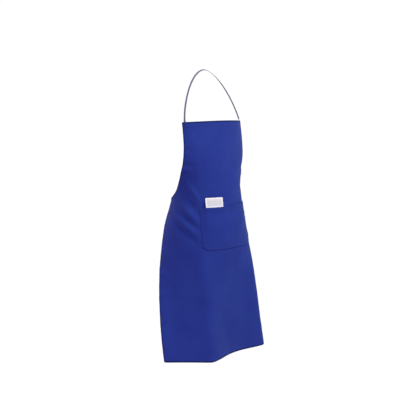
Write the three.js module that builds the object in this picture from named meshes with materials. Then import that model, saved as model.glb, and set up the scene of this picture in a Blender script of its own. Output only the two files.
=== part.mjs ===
// A bib apron of blue welder's cloth, as it hangs on a wearer: one cloth panel with turned hems, a double
// patch pocket with a card in it, a neck strap sewn inside the bib and two waist ties knotted at the back.
//
// Every piece of cloth is cut flat and then laid on one draped surface. A place on the flat cut is (s, t):
// s is the distance across from the centre line, positive on the wearer's left, and t is the distance down
// from the bib's top edge. The front faces -Y. The part's origin is where the neck carries the strap.
import * as THREE from "three";

// ---- Driving dimensions, in millimetres ------------------------------------------------------------------
const LENGTH = 900; // bib top edge to the bottom edge
const BIB_WIDTH = 350; // across the flat cut at the bib's top edge
const SKIRT_WIDTH = 686; // across the flat cut below the armholes
const ARMHOLE_DEPTH = 306; // bib top edge to the two side corners
const ARMHOLE_CURVE = 3; // 2 is a quarter ellipse, more turns outwards later
const CLOTH = 1; // one layer of cloth
const HEM_LAYERS = 3; // a turned hem: the cloth and its fold turned in twice
const TOP_HEM = 25;
const BOTTOM_HEM = 25;
const SIDE_HEM = 12; // sides and armholes
const GAP = 0.3; // between two pieces that touch

const POCKET_WIDTH = 264;
const POCKET_HEIGHT = 168;
const POCKET_DEPTH = 318; // bib top edge to the pocket's mouth
const POCKET_CORNER = 24; // radius of its two bottom corners
const POCKET_HEM = 18;
const POCKET_GAPE = 12; // how far the mouth of the empty left half stands open
const CARD_WIDTH = 72;
const CARD_HEIGHT = 172;
const CARD_THICK = 0.6;
const CARD_PLACE = 72; // centre line to the middle of the card, in the pocket's right half
const CARD_FOOT = 28; // how far above the pocket's bottom edge the two layers pinch the card's foot
const CARD_LEAN = 7; // degrees that the card, and the way it slides out, leans back
const CARD_CLEAR = 1; // room for the card to slide in

const STRAP_WIDTH = 8;
const STRAP_THICK = 1.6;
const STRAP_PLACE = 162; // centre line to the middle of the strap's sewn end
const STRAP_RISE = 201; // bib top edge to the top of the neck loop
const STRAP_LEAN = 50; // how far behind its sewn ends the top of the loop lies
const LOOP_SIDE = 1.8; // the arch is a superellipse: the power across
const LOOP_RISE = 1.34; // and the power upwards

const TIE_WIDTH = 12;
const TIE_THICK = 1.2;
const TIE_SEWN = 26; // length of a tie's sewn end
const TIE_LEAVES = 8; // how far past the edge it still lies along the cloth
const TIE_BACK = 14; // how far behind the side corners the knot lies
const KNOT = new THREE.Vector3(22, 13, 20);
const TAIL_LENGTH = 330;

const THREAD = 0.8; // width of a row of stitching
const THREAD_THICK = 0.5;
const STITCH_INSET = 3; // edge to stitching, on the pocket and the sewn tape ends

// ---- How the cloth lies ----------------------------------------------------------------------------------
// Its level sections at six depths: the bib's edge, chest, waist, hip, thigh and bottom edge.
// front   y of the centre line
// bend    turn of the cloth in degrees for each 100 mm across
// corner  a further turn in degrees, spread over `wide` mm of cloth around `at` mm from the centre line
// hollow  how many degrees the front bellies in between its two corners
// turn    how many degrees the whole section is turned
const SECTIONS = [
  { depth: 0, front: -84, bend: 24, corner: 0, at: 150, wide: 120, hollow: 0, turn: 0 },
  { depth: 140, front: -104, bend: 25, corner: 5, at: 150, wide: 120, hollow: 0, turn: 0 },
  { depth: 252, front: -119, bend: 37, corner: 11, at: 150, wide: 120, hollow: 0, turn: 0 },
  { depth: 420, front: -138, bend: 28, corner: 18, at: 136, wide: 100, hollow: 0, turn: 0 },
  { depth: 640, front: -139, bend: 4, corner: 58, at: 136, wide: 50, hollow: 8, turn: 0 },
  { depth: LENGTH, front: -156, bend: -3, corner: 56, at: 158, wide: 28, hollow: 11, turn: 4.3 },
];
const FEATURES = ["front", "bend", "corner", "at", "wide", "hollow", "turn"];
const sectionFeatures = new THREE.CubicInterpolant(
  SECTIONS.map((section) => section.depth),
  SECTIONS.flatMap((section) => FEATURES.map((name) => section[name])),
  FEATURES.length
);
const REACH = 0.6 * SKIRT_WIDTH; // how far across a section is worked out, past the cut's edge
const STEP = 2;
const sections = new Map();

// The heading of the cloth, in radians, at s on a section.
function heading(s, { bend, corner, at, wide, hollow, turn }) {
  const side = Math.abs(s);
  const fold = THREE.MathUtils.smoothstep(side, at - wide / 2, at + wide / 2);
  const belly = Math.sin(Math.PI * Math.min(1, side / (at - wide / 2)));
  const degrees = (bend * side) / 100 + corner * fold - hollow * belly;
  return THREE.MathUtils.degToRad(Math.sign(s) * degrees + turn);
}

// The section at a depth, as points STEP apart from -REACH to REACH, found by following the heading.
function section(depth) {
  const key = depth.toFixed(3);
  if (sections.has(key)) return sections.get(key);
  const values = sectionFeatures.evaluate(THREE.MathUtils.clamp(depth, 0, LENGTH));
  const shape = Object.fromEntries(FEATURES.map((name, i) => [name, values[i]]));
  const half = Math.ceil(REACH / STEP);
  const points = [];
  for (const side of [-1, 1]) {
    const at = new THREE.Vector2(0, shape.front);
    points[half] = at.clone();
    for (let i = 1; i <= half; i++) {
      const angle = heading(side * (i - 0.5) * STEP, shape);
      at.x += side * STEP * Math.cos(angle);
      at.y += side * STEP * Math.sin(angle);
      points[half + side * i] = at.clone();
    }
  }
  sections.set(key, points);
  return points;
}

// The point of the draped cloth's outer face at (s, t).
function drape(s, t) {
  const points = section(t);
  const along = THREE.MathUtils.clamp(s / STEP + (points.length - 1) / 2, 0, points.length - 1.001);
  const i = Math.floor(along);
  const { x, y } = points[i].clone().lerp(points[i + 1], along - i);
  return new THREE.Vector3(x, y, -t);
}

// The point `out` mm off the outer face at (s, t), away from the wearer.
function cloth(s, t, out) {
  const NEAR = 1;
  const across = drape(s + NEAR, t).sub(drape(s - NEAR, t));
  const down = drape(s, t + NEAR).sub(drape(s, t - NEAR));
  return drape(s, t).addScaledVector(down.cross(across).normalize(), out);
}

// ---- The flat cut ----------------------------------------------------------------------------------------
// The point of the right or left half's armhole, `inset` mm inside its edge. turn runs from 0 at the bib's
// corner to a quarter turn at the side corner.
function armhole(turn, inset) {
  const rise = (angle) => ARMHOLE_DEPTH * Math.sin(angle) ** (2 / ARMHOLE_CURVE);
  const spread = (angle) => (BIB_WIDTH + (SKIRT_WIDTH - BIB_WIDTH) * (1 - Math.cos(angle))) / 2;
  const NEAR = 1e-4;
  const low = Math.max(turn - NEAR, 0);
  const high = turn + NEAR;
  const tangent = new THREE.Vector2(spread(high) - spread(low), rise(high) - rise(low)).normalize();
  return { s: spread(turn) - inset * tangent.y, t: rise(turn) + inset * tangent.x };
}

// The turn at which the armhole, `inset` mm in, is at depth t.
function armholeTurn(t, inset) {
  let low = 0;
  let high = Math.PI / 2;
  for (let i = 0; i < 40; i++) {
    const middle = (low + high) / 2;
    if (armhole(middle, inset).t < t) low = middle;
    else high = middle;
  }
  return (low + high) / 2;
}

// Half the width of the cut at depth t, `inset` mm inside its edge.
function halfWidth(t, inset) {
  const straight = SKIRT_WIDTH / 2 - inset;
  if (t >= ARMHOLE_DEPTH + inset) return straight;
  return Math.min(straight, armhole(armholeTurn(t, inset), inset).s);
}

// ---- Building pieces -------------------------------------------------------------------------------------
const apron = new THREE.Group();

function material(color, roughness) {
  return new THREE.MeshStandardMaterial({ color, roughness, metalness: 0 });
}
const blueCloth = material(0x2a3f93, 0.85);
const slateTape = material(0x5f6880, 0.8);
const blueTape = material(0x263a88, 0.85);
const blueThread = material(0x1e2f78, 0.7);
const whiteCard = material(0xe9e6f2, 0.6);

function add(name, geometry, look) {
  const mesh = new THREE.Mesh(geometry, look);
  mesh.name = name;
  apron.add(mesh);
  return mesh;
}

// A slab whose grid of `columns` by `rows` cells is placed by place(u, v, w), each from 0 to 1: u across,
// v down and w outwards. A box already has closed, outward faces, and it keeps them.
function slab(columns, rows, place) {
  const geometry = new THREE.BoxGeometry(1, 1, 1, columns, rows, 1);
  const position = geometry.attributes.position;
  for (let i = 0; i < position.count; i++) {
    const point = place(position.getX(i) + 0.5, 0.5 - position.getY(i), position.getZ(i) + 0.5);
    position.setXYZ(i, point.x, point.y, point.z);
  }
  matchDiagonals(geometry);
  geometry.computeVertexNormals();
  return geometry;
}

// A box splits its front and its back cells along opposite diagonals. The back cells take the front's, so
// that a thin wall keeps its thickness where the cloth twists.
function matchDiagonals({ index, groups }) {
  const back = groups[5];
  for (let i = back.start; i < back.start + back.count; i += 6) {
    const [a, b, d, , c] = index.array.slice(i, i + 6);
    index.set([a, b, c, a, c, d], i);
  }
}

// Evenly spaced numbers, and the value that lies `share` of the way through a list.
function spaced(from, to, count) {
  return Array.from({ length: count + 1 }, (_, i) => from + ((to - from) * i) / count);
}
function pick(list, share) {
  const along = share * (list.length - 1);
  const i = Math.min(Math.floor(along + 1e-6), list.length - 2);
  return THREE.MathUtils.lerp(list[i], list[i + 1], along - i);
}

// A piece of cloth between inner and outer, both off the outer face, over the listed depths. across is a
// list from 0 at one edge to 1 at the other, and edges(t) gives the two edges' s at a depth.
function clothPiece(depths, across, edges, inner, outer, lift = () => 0) {
  return slab(across.length - 1, depths.length - 1, (u, v, w) => {
    const t = pick(depths, v);
    const [from, to] = edges(t);
    const s = THREE.MathUtils.lerp(from, to, pick(across, u));
    return cloth(s, t, THREE.MathUtils.lerp(inner, outer, w) + lift(s, t));
  });
}

// A narrow strip along path(share) on the cloth.
function strip(count, path, width, inner, outer, lift = () => 0) {
  const NEAR = 1e-3;
  return slab(1, count, (u, v, w) => {
    const at = path(v);
    const ahead = path(Math.min(v + NEAR, 1));
    const behind = path(Math.max(v - NEAR, 0));
    const way = new THREE.Vector2(ahead.s - behind.s, ahead.t - behind.t).normalize();
    const side = (u - 0.5) * width;
    const s = at.s + side * way.y;
    const t = at.t - side * way.x;
    return cloth(s, t, THREE.MathUtils.lerp(inner, outer, w) + lift(s, t));
  });
}

// A tape along a curve. face(share) is the way that its width runs, and width(share) is how wide it is.
function tape(shares, curve, width, thick, face) {
  return slab(1, shares.length - 1, (u, v, w) => {
    const share = pick(shares, v);
    const way = curve.getTangent(share);
    const across = face(share).clone();
    across.addScaledVector(way, -across.dot(way)).normalize();
    const out = new THREE.Vector3().crossVectors(way, across);
    const point = curve.getPoint(share).addScaledVector(across, (u - 0.5) * width(share));
    return point.addScaledVector(out, (w - 0.5) * thick);
  });
}

const SIDES = [
  { side: -1, word: "right" }, // the wearer's right
  { side: 1, word: "left" },
];

// ---- The panel and its hems ------------------------------------------------------------------------------
const HEM = CLOTH * HEM_LAYERS;
const SKIRT_TOP = ARMHOLE_DEPTH + SIDE_HEM; // the armhole's hem ends here and the side hem starts
const bibDepths = [
  ...spaced(TOP_HEM + GAP, 0.78 * ARMHOLE_DEPTH, 7),
  ...[0.86, 0.92, 0.96, 0.99, 1.01].map((share) => share * ARMHOLE_DEPTH),
  SKIRT_TOP - 0.3 * SIDE_HEM,
  SKIRT_TOP,
];
// Rows, closer together just under the side corners, where the cloth turns most.
const skirtDepths = spaced(0, 1, 16).map((share) =>
  THREE.MathUtils.lerp(SKIRT_TOP + GAP, LENGTH - BOTTOM_HEM - GAP, share ** 1.5)
);
// Columns as shares of half the width, closer together where the skirt turns its two front corners.
const { at: cornerAt, wide: cornerWide } = SECTIONS.at(-1);
const corner = (part) => (cornerAt + part * cornerWide) / (SKIRT_WIDTH / 2);
const halfColumns = [
  ...spaced(0, corner(-1.2), 4),
  ...[-0.75, -0.4, 0, 0.4, 0.75].map(corner),
  ...spaced(corner(1.3), 1, 4),
];
const columns = [
  ...halfColumns.map((share) => 0.5 - share / 2).reverse(),
  ...halfColumns.slice(1).map((share) => 0.5 + share / 2),
];
const symmetric = (half) => [-half, half];

function panel() {
  const inset = SIDE_HEM + GAP;
  const depths = [...bibDepths, ...skirtDepths.slice(1)];
  const geometry = clothPiece(depths, columns, (t) => symmetric(halfWidth(t, inset)), -CLOTH, 0);
  add("apron_panel", geometry, blueCloth);
}

// Across a narrow hem, from its folded edge inwards: a row of vertices lies under the stitching.
const SIDE_STITCH = SIDE_HEM - STITCH_INSET;
const hemColumns = [0, SIDE_STITCH / SIDE_HEM, 1];
const fromEdge = (side, u) => SIDE_HEM * pick(side > 0 ? hemColumns.toReversed() : hemColumns, u);

// Places across, from -half to half at the listed shares, with the two outermost drawn in for stitching.
function placesAcross(shares, half) {
  const reach = half - STITCH_INSET;
  return shares.map((share) => THREE.MathUtils.clamp((2 * share - 1) * half, -reach, reach));
}

// A row of stitching along a hem's inner side, standing on the outer face.
function hemStitching(name, count, path) {
  add(name, strip(count, path, THREAD, GAP, GAP + THREAD_THICK), blueThread);
}

function levelHems() {
  const bottom = LENGTH - BOTTOM_HEM;
  for (const { name, from, to, stitched } of [
    { name: "bib_top_hem", from: 0, to: TOP_HEM, stitched: TOP_HEM - STITCH_INSET },
    { name: "bottom_hem", from: bottom, to: LENGTH, stitched: bottom + STITCH_INSET },
  ]) {
    const depths = [from, stitched, to];
    add(name, clothPiece(depths, columns, (t) => symmetric(halfWidth(t, 0)), -HEM, 0), blueCloth);
    const places = placesAcross(columns, halfWidth(stitched, 0));
    const row = (share) => ({ s: pick(places, share), t: stitched });
    hemStitching(name + "_stitching", columns.length - 1, row);
  }
}

function edgeHems({ side, word }) {
  const turns = bibDepths.map((t) => armholeTurn(t, SIDE_HEM));
  turns[turns.length - 1] = Math.PI / 2;
  const count = turns.length - 1;
  const armholeHem = slab(2, count, (u, v, w) => {
    const { s, t } = armhole(pick(turns, v), fromEdge(side, u));
    return cloth(side * s, Math.max(t, TOP_HEM + GAP), -HEM * (1 - w));
  });
  add(word + "_armhole_hem", armholeHem, blueCloth);
  hemStitching(word + "_armhole_hem_stitching", count, (share) => {
    const { s, t } = armhole(pick(turns, share), SIDE_STITCH);
    return { s: side * s, t: Math.max(t, TOP_HEM + 2 * GAP) };
  });

  const edge = SKIRT_WIDTH / 2;
  const sideHem = slab(2, skirtDepths.length - 1, (u, v, w) =>
    cloth(side * (edge - fromEdge(side, u)), pick(skirtDepths, v), -HEM * (1 - w))
  );
  add(word + "_side_hem", sideHem, blueCloth);
  hemStitching(word + "_side_hem_stitching", skirtDepths.length - 1, (share) => ({
    s: side * (edge - SIDE_STITCH),
    t: pick(skirtDepths, share),
  }));
}

// ---- The pocket and the card in it -----------------------------------------------------------------------
const POCKET_SEAT = 2 * GAP; // the panel's outer face to the pocket's inner face, along its seams
const pocketBottom = POCKET_DEPTH + POCKET_HEIGHT;

function pocketHalf(t) {
  const low = Math.max(0, t - (pocketBottom - POCKET_CORNER));
  return POCKET_WIDTH / 2 - POCKET_CORNER + Math.sqrt(Math.max(0, POCKET_CORNER ** 2 - low ** 2));
}

// The card is curved one way only, so that it slides out along itself: the cloth's section at its foot, a
// little clear of the cloth, carried up along the card's lean.
const cardFootDepth = pocketBottom - CARD_FOOT;
const cardEdges = [-CARD_PLACE - CARD_WIDTH / 2, -CARD_PLACE + CARD_WIDTH / 2];
const cardLean = THREE.MathUtils.degToRad(CARD_LEAN);
const cardWay = new THREE.Vector3(0, Math.sin(cardLean), Math.cos(cardLean));
const CARD_OFF = 0.6; // from the cloth to the card's foot at its outer edge
const CARD_TWIST = 0.05; // and how much further off it is for each mm across from there

function cardPoint(s, height) {
  const off = CARD_OFF + CARD_TWIST * (s - cardEdges[0]);
  return cloth(s, cardFootDepth, off).addScaledVector(cardWay, height);
}

// How far the card stands off the cloth at (s, t).
function cardStand(s, t) {
  const base = drape(s, t);
  const out = cloth(s, t, 1).sub(base);
  const height = (base.z - cardPoint(s, 0).z) / cardWay.z;
  return cardPoint(s, height).sub(base).dot(out);
}

// How far the pocket stands off its seat: the left half is a pouch, widest at the mouth, and the card holds
// the right half open.
function pouch(s, t) {
  const half = POCKET_WIDTH / 2;
  const down = THREE.MathUtils.clamp((t - POCKET_DEPTH) / POCKET_HEIGHT, 0, 1);
  if (s >= 0) {
    const across = (1 - Math.cos((2 * Math.PI * Math.min(s, half)) / half)) / 2;
    return POCKET_GAPE * across * (1 - down ** 3);
  }
  const [outer, inner] = cardEdges;
  const nearest = THREE.MathUtils.clamp(s, outer, inner);
  const fromSeam = THREE.MathUtils.smoothstep(s, 2 * STITCH_INSET - half, outer);
  const fromDivider = 1 - THREE.MathUtils.smoothstep(s, inner, -STITCH_INSET);
  const lowered = pocketBottom - 2 * STITCH_INSET;
  const fromBottom = 1 - THREE.MathUtils.smoothstep(t, pocketBottom - POCKET_CORNER, lowered);
  const open = cardStand(nearest, Math.min(t, cardFootDepth)) + CARD_THICK + CARD_CLEAR - POCKET_SEAT;
  return open * fromSeam * fromDivider * fromBottom;
}

function pocket() {
  // Columns from the pocket's edge to its middle, closer together where the pouch rises from the seam.
  const half = [...spaced(0, 0.2, 5), ...spaced(0.3, 1, 7)].map((share) => share / 2);
  const across = [...half, ...half.slice(0, -1).map((share) => 1 - share).reverse()];
  const edges = (t) => symmetric(pocketHalf(t));
  const rounded = [0.3, 0.55, 0.75, 0.9, 1].map((share) => pocketBottom - POCKET_CORNER * (1 - share));
  const depths = [...spaced(POCKET_DEPTH + POCKET_HEM + GAP, pocketBottom - POCKET_CORNER, 7), ...rounded];
  const front = clothPiece(depths, across, edges, POCKET_SEAT, POCKET_SEAT + CLOTH, pouch);
  add("pocket_front", front, blueCloth);
  const mouth = [POCKET_DEPTH, POCKET_DEPTH + POCKET_HEM];
  const hem = clothPiece(mouth, across, edges, POCKET_SEAT, POCKET_SEAT + 2 * CLOTH, pouch);
  add("pocket_top_hem", hem, blueCloth);

  const face = POCKET_SEAT + CLOTH + GAP;
  const inset = pocketHalf(POCKET_DEPTH) - STITCH_INSET;
  const start = POCKET_DEPTH + POCKET_HEM + 2 * GAP;
  const outline = new THREE.Path();
  outline.moveTo(-inset, start);
  const radius = POCKET_CORNER - STITCH_INSET;
  const low = pocketBottom - STITCH_INSET;
  outline.lineTo(-inset, low - radius);
  outline.absarc(radius - inset, low - radius, radius, Math.PI, Math.PI / 2, true);
  outline.lineTo(inset - radius, low);
  outline.absarc(inset - radius, low - radius, radius, Math.PI / 2, 0, true);
  outline.lineTo(inset, start);
  const seam = (share) => {
    const { x, y } = outline.getPointAt(share);
    return { s: x, t: y };
  };
  add("pocket_seam_stitching", strip(90, seam, THREAD, face, face + THREAD_THICK, pouch), blueThread);

  const divider = (share) => ({ s: 0, t: THREE.MathUtils.lerp(start, low - 2 * STITCH_INSET, share) });
  add("pocket_divider_stitching", strip(16, divider, THREAD, face, face + THREAD_THICK, pouch), blueThread);

  const hemFace = face + CLOTH;
  const places = placesAcross(across, pocketHalf(POCKET_DEPTH));
  const hemRow = (share) => ({ s: pick(places, share), t: POCKET_DEPTH + POCKET_HEM - STITCH_INSET });
  const hemRowStrip = strip(across.length - 1, hemRow, THREAD, hemFace, hemFace + THREAD_THICK, pouch);
  add("pocket_hem_stitching", hemRowStrip, blueThread);

  for (const { name, s } of [
    { name: "right_pocket_bartack", s: -inset },
    { name: "middle_pocket_bartack", s: 0 },
    { name: "left_pocket_bartack", s: inset },
  ]) {
    const length = POCKET_HEM - 2 * STITCH_INSET;
    const bar = (share) => ({ s, t: POCKET_DEPTH + THREE.MathUtils.lerp(1, length, share) });
    add(name, strip(3, bar, 3 * THREAD, hemFace, hemFace + 2 * THREAD_THICK, pouch), blueThread);
  }
}

function card() {
  const geometry = slab(8, 1, (u, v, w) => {
    const s = THREE.MathUtils.lerp(...cardEdges, u);
    const out = cloth(s, cardFootDepth, w * CARD_THICK).sub(drape(s, cardFootDepth));
    return cardPoint(s, CARD_HEIGHT * (1 - v)).add(out);
  });
  add("pocket_card", geometry, whiteCard);
}

// ---- The neck strap --------------------------------------------------------------------------------------
// Where the middle of the strap's thickness lies at its sewn end.
const strapInside = -HEM - 2 * GAP - STRAP_THICK / 2;
const SEWN_STRAP = TOP_HEM - STITCH_INSET;
const STRAP_STANDS = 1; // how far each sewn end stands above the bib
const STRAP_TIP = 0.3; // the width of a round end's tip, as a share of the strap's

class NeckLoop extends THREE.Curve {
  constructor(base) {
    super();
    this.base = base;
  }
  // From the right sewn end over the neck to the left one: a superellipse arch that leans back.
  getPoint(share, target = new THREE.Vector3()) {
    const turn = Math.PI * share;
    const x = -Math.sign(Math.cos(turn)) * Math.abs(Math.cos(turn)) ** (2 / LOOP_SIDE);
    const rise = Math.sin(turn) ** (2 / LOOP_RISE);
    return target.set(this.base.x * x, this.base.y + STRAP_LEAN * rise, this.base.z + STRAP_RISE * rise);
  }
}

function neckStrap() {
  const start = cloth(STRAP_PLACE, 0, strapInside).setZ(STRAP_STANDS + GAP);
  const loop = new NeckLoop(start);
  const edge = drape(STRAP_PLACE + 1, 0).sub(drape(STRAP_PLACE - 1, 0)).normalize();
  const overArch = new THREE.Vector3(0, -1, 0);
  const face = (share) => {
    const flat = new THREE.Vector3(share < 0.5 ? edge.x : -edge.x, -Math.abs(edge.y), 0);
    const rise = Math.sin(Math.PI * share);
    return flat.lerp(overArch, THREE.MathUtils.smoothstep(rise, 0.05, 0.5));
  };
  // Both ends are round, so that they clear the sewn ends as the strap folds over.
  const radius = STRAP_WIDTH / 2;
  const width = (share) => {
    const short = Math.max(0, radius - (loop.getPoint(share).z - start.z)) / radius;
    return STRAP_WIDTH * Math.sqrt(Math.max(1 - short ** 2, STRAP_TIP ** 2));
  };
  const half = [0, 0.007, 0.015, 0.028, ...spaced(0.05, 0.5, 30)];
  const shares = [...half, ...half.slice(0, -1).map((share) => 1 - share).reverse()];
  add("neck_strap", tape(shares, loop, width, STRAP_THICK, face), slateTape);

  for (const { side, word } of SIDES) {
    const s = side * STRAP_PLACE;
    const down = (share) => ({ s, t: THREE.MathUtils.lerp(GAP - STRAP_STANDS, SEWN_STRAP, share) });
    const inner = strapInside - STRAP_THICK / 2;
    const outer = strapInside + STRAP_THICK / 2;
    add(word + "_strap_end", strip(4, down, STRAP_WIDTH, inner, outer), slateTape);
    const row = (share) => ({ s, t: THREE.MathUtils.lerp(STITCH_INSET, SEWN_STRAP - STITCH_INSET, share) });
    const out = inner - GAP;
    add(word + "_strap_end_stitching", strip(4, row, 4 * THREAD, out - THREAD_THICK, out), blueThread);
  }
}

// ---- The waist ties, their knot and their tails ----------------------------------------------------------
const tieDepth = SKIRT_TOP + TIE_WIDTH; // the tie's middle, just under the side corner
const tieInside = -HEM - 2 * GAP - TIE_THICK / 2;
const UP = new THREE.Vector3(0, 0, 1);

// A tie is sewn flat to the inside of the side corner, runs on past its edge and then turns to the knot.
function waistTie(side, word, knotCentre) {
  const edge = SKIRT_WIDTH / 2;
  const inside = (reach, t = tieDepth) => cloth(side * (edge + reach), t, tieInside);
  const sewn = spaced(-TIE_SEWN, TIE_LEAVES, 5).map((reach) => inside(reach));
  const end = knotCentre.clone().setX(side * (KNOT.x / 2 + GAP));
  const turn = end.clone().lerp(sewn.at(-1), 0.6).setY(end.y);
  const curve = new THREE.CatmullRomCurve3([...sewn, turn, end]);
  const slope = inside(0, tieDepth - 1).sub(inside(0, tieDepth + 1)).normalize();
  const leaves = (sewn.length - 1) / (sewn.length + 1); // the share of the curve that lies along the cloth
  const face = (share) => slope.clone().lerp(UP, THREE.MathUtils.smoothstep(share, leaves, 1));
  add(word + "_waist_tie", tape(spaced(0, 1, 28), curve, () => TIE_WIDTH, TIE_THICK, face), blueTape);

  const row = (share) => ({ s: side * (edge - THREE.MathUtils.lerp(TIE_SEWN - 3, 3, share)), t: tieDepth });
  const out = tieInside - TIE_THICK / 2 - 2 * GAP;
  add(word + "_tie_stitching", strip(4, row, 8 * THREAD, out - THREAD_THICK, out), blueThread);
}

function waistTies() {
  const corner = cloth(SKIRT_WIDTH / 2, tieDepth, tieInside);
  const knotCentre = new THREE.Vector3(0, corner.y + TIE_BACK, -tieDepth - TIE_WIDTH / 3);
  const knot = new THREE.SphereGeometry(0.5, 20, 12).rotateX(Math.PI / 2);
  knot.scale(KNOT.x, KNOT.y, KNOT.z).translate(knotCentre.x, knotCentre.y, knotCentre.z);
  add("waist_knot", knot, blueTape);

  for (const { side, word } of SIDES) {
    waistTie(side, word, knotCentre);
    tail(side, word, knotCentre);
  }
}

// The free end of a tie, hanging straight down from the knot.
function tail(side, word, centre) {
  const top = new THREE.Vector3(side * 0.62 * TIE_WIDTH, centre.y, centre.z - KNOT.z / 2 - GAP);
  const curve = new THREE.LineCurve3(top, top.clone().setZ(top.z - TAIL_LENGTH));
  const across = new THREE.Vector3(1, 0, 0);
  add(word + "_tie_tail", tape(spaced(0, 1, 6), curve, () => TIE_WIDTH, TIE_THICK, () => across), blueTape);
}

panel();
levelHems();
SIDES.forEach(edgeHems);
pocket();
card();
neckStrap();
waistTies();

// The frame's origin is the underside of the strap where it lies on the back of the neck.
const strapTop = cloth(STRAP_PLACE, 0, strapInside);
const strapTopHeight = STRAP_STANDS + GAP + STRAP_RISE - STRAP_THICK / 2;
apron.position.set(0, -strapTop.y - STRAP_LEAN, -strapTopHeight);

export default apron;
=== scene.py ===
"""The looks of a blue bib apron as it hangs on a wearer: one cloth with turned hems, a double patch
pocket with a card in it, a neck strap, and two waist ties knotted at the back. Lengths are in metres.

A place on the flat cut is (s, t): s is the distance across from the centre line, positive on the
wearer's left, and t is the distance down from the bib's top edge. Every piece of cloth is laid on the
lie of the frame's cloth.
"""
import math

import bpy
import numpy as np
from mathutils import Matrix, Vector, geometry, kdtree, noise
from mathutils.bvhtree import BVHTree


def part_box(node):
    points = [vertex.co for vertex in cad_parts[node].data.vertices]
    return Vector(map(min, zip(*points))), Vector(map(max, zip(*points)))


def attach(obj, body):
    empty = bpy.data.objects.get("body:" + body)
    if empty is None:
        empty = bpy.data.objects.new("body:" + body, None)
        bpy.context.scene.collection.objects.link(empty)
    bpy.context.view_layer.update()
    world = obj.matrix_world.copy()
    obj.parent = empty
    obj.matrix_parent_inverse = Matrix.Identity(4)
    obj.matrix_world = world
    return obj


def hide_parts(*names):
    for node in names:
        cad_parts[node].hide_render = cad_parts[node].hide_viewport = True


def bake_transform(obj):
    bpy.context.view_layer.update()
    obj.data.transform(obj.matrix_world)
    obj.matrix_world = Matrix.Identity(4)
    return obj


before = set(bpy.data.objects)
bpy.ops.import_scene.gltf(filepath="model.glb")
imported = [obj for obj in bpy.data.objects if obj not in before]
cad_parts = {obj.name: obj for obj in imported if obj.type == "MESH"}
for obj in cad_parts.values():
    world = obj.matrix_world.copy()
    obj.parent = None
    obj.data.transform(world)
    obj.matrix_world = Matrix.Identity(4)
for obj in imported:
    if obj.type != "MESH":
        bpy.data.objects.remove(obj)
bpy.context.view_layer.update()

MM = 0.001

# ---- The cut, with the driving dimensions of the frame's cloth ----
BIB_WIDTH = 0.350
SKIRT_WIDTH = 0.686
ARMHOLE_DEPTH = 0.306
ARMHOLE_CURVE = 3  # 2 is a quarter ellipse, more turns outwards later
TOP_HEM = 0.025
BOTTOM_HEM = 0.025
SIDE_HEM = 0.012
CLOTH = 1.0 * MM  # one layer
HEM = 3 * CLOTH  # a turned hem has three
CUT_CORNER = 5 * MM  # radius that a hem's corner is turned to
HIP_CORNER = 45 * MM  # the corner where armhole and side meet
TOP_ARCH = 5 * MM  # how far the bib's top edge arches up in its middle

POCKET_WIDTH = 0.264
POCKET_HEIGHT = 0.168
POCKET_DEPTH = 0.318
POCKET_CORNER = 0.024
POCKET_HEM = 0.018
POCKET_FOLD = 0.5 * MM  # how much thicker the pocket is where it is turned in
POCKET_TURN = (8 * MM, 9.5 * MM)  # how far its edge is turned in, and where the step that this makes ends
POCKET_SAG = 8 * MM  # how far the mouth hangs down on the card's side
STITCH_INSET = 3 * MM

STRAP_WIDTH = 8 * MM
STRAP_THICK = 1.6 * MM
STRAP_PLACE = 0.162
LOOP_SIDE = 1.8  # the loop is a superellipse: the power across
LOOP_RISE = 1.34  # and the power upwards
STRAND_TILT = math.radians(8)  # the strap's front edge is turned in this far beside the neck
NAPE_TILT = math.radians(24)  # and this far behind it
TIE_WIDTH = 12 * MM
TIE_THICK = 1.2 * MM
TIE_SEWN = 26 * MM
TAIL_LENGTH = 0.330

STITCH = 3.4 * MM  # from one stitch to the next
THREAD = 0.8 * MM


# ---- Number helpers ----
def smoothstep(values, low, high):
    share = np.clip((np.asarray(values) - low) / (high - low), 0, 1)
    return share * share * (3 - 2 * share)


def lerp(a, b, share):
    return a + (b - a) * share


def unit(vectors):
    return vectors / np.linalg.norm(vectors, axis=-1, keepdims=True)


def between(values, low, high, soft):
    """1 between low and high, falling softly to 0 outside them."""
    return smoothstep(values, low - soft, low) * (1 - smoothstep(values, high, high + soft))


def noise_at(places, scale, seed):
    """Smooth noise from -1 to 1 whose waves are about `scale` long, at an (n, 2) array of places."""
    return np.array([noise.noise(Vector((a / scale, b / scale, seed))) for a, b in places])


def bell(values, width):
    """1 at 0, falling evenly to 0 on both sides like a Gaussian of that width."""
    return np.exp(-0.5 * (values / width) ** 2)


def distance_along(points):
    """How far along a line each of its points is."""
    return np.concatenate([[0], np.cumsum(np.linalg.norm(np.diff(points, axis=0), axis=1))])


def soften(values, sigma, axis):
    """Gaussian smoothing along an axis, which keeps straight runs straight up to the ends."""
    radius = max(1, int(3 * sigma))
    weights = bell(np.arange(-radius, radius + 1), sigma)
    weights /= weights.sum()
    pad = [(0, 0)] * values.ndim
    pad[axis] = (radius, radius)
    padded = np.pad(values, pad, mode="reflect", reflect_type="odd")
    count = values.shape[axis]
    taps = [w * padded.take(range(i, i + count), axis) for i, w in enumerate(weights)]
    return np.sum(taps, axis=0)


def resample(points, step):
    """Points evenly spaced along a line, about `step` apart."""
    along = distance_along(points)
    places = np.linspace(0, along[-1], max(2, round(along[-1] / step) + 1))
    return np.stack([np.interp(places, along, column) for column in points.T], axis=1)


# ---- The lie of the cloth, read from the frame ----
def search_tree(*names):
    """A search tree over the faces of CAD nodes."""
    points, faces = [], []
    for name in names:
        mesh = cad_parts[name].data
        first = len(points)
        points += [vertex.co.copy() for vertex in mesh.vertices]
        faces += [[first + i for i in polygon.vertices] for polygon in mesh.polygons]
    return BVHTree.FromPolygons(points, faces)


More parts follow.
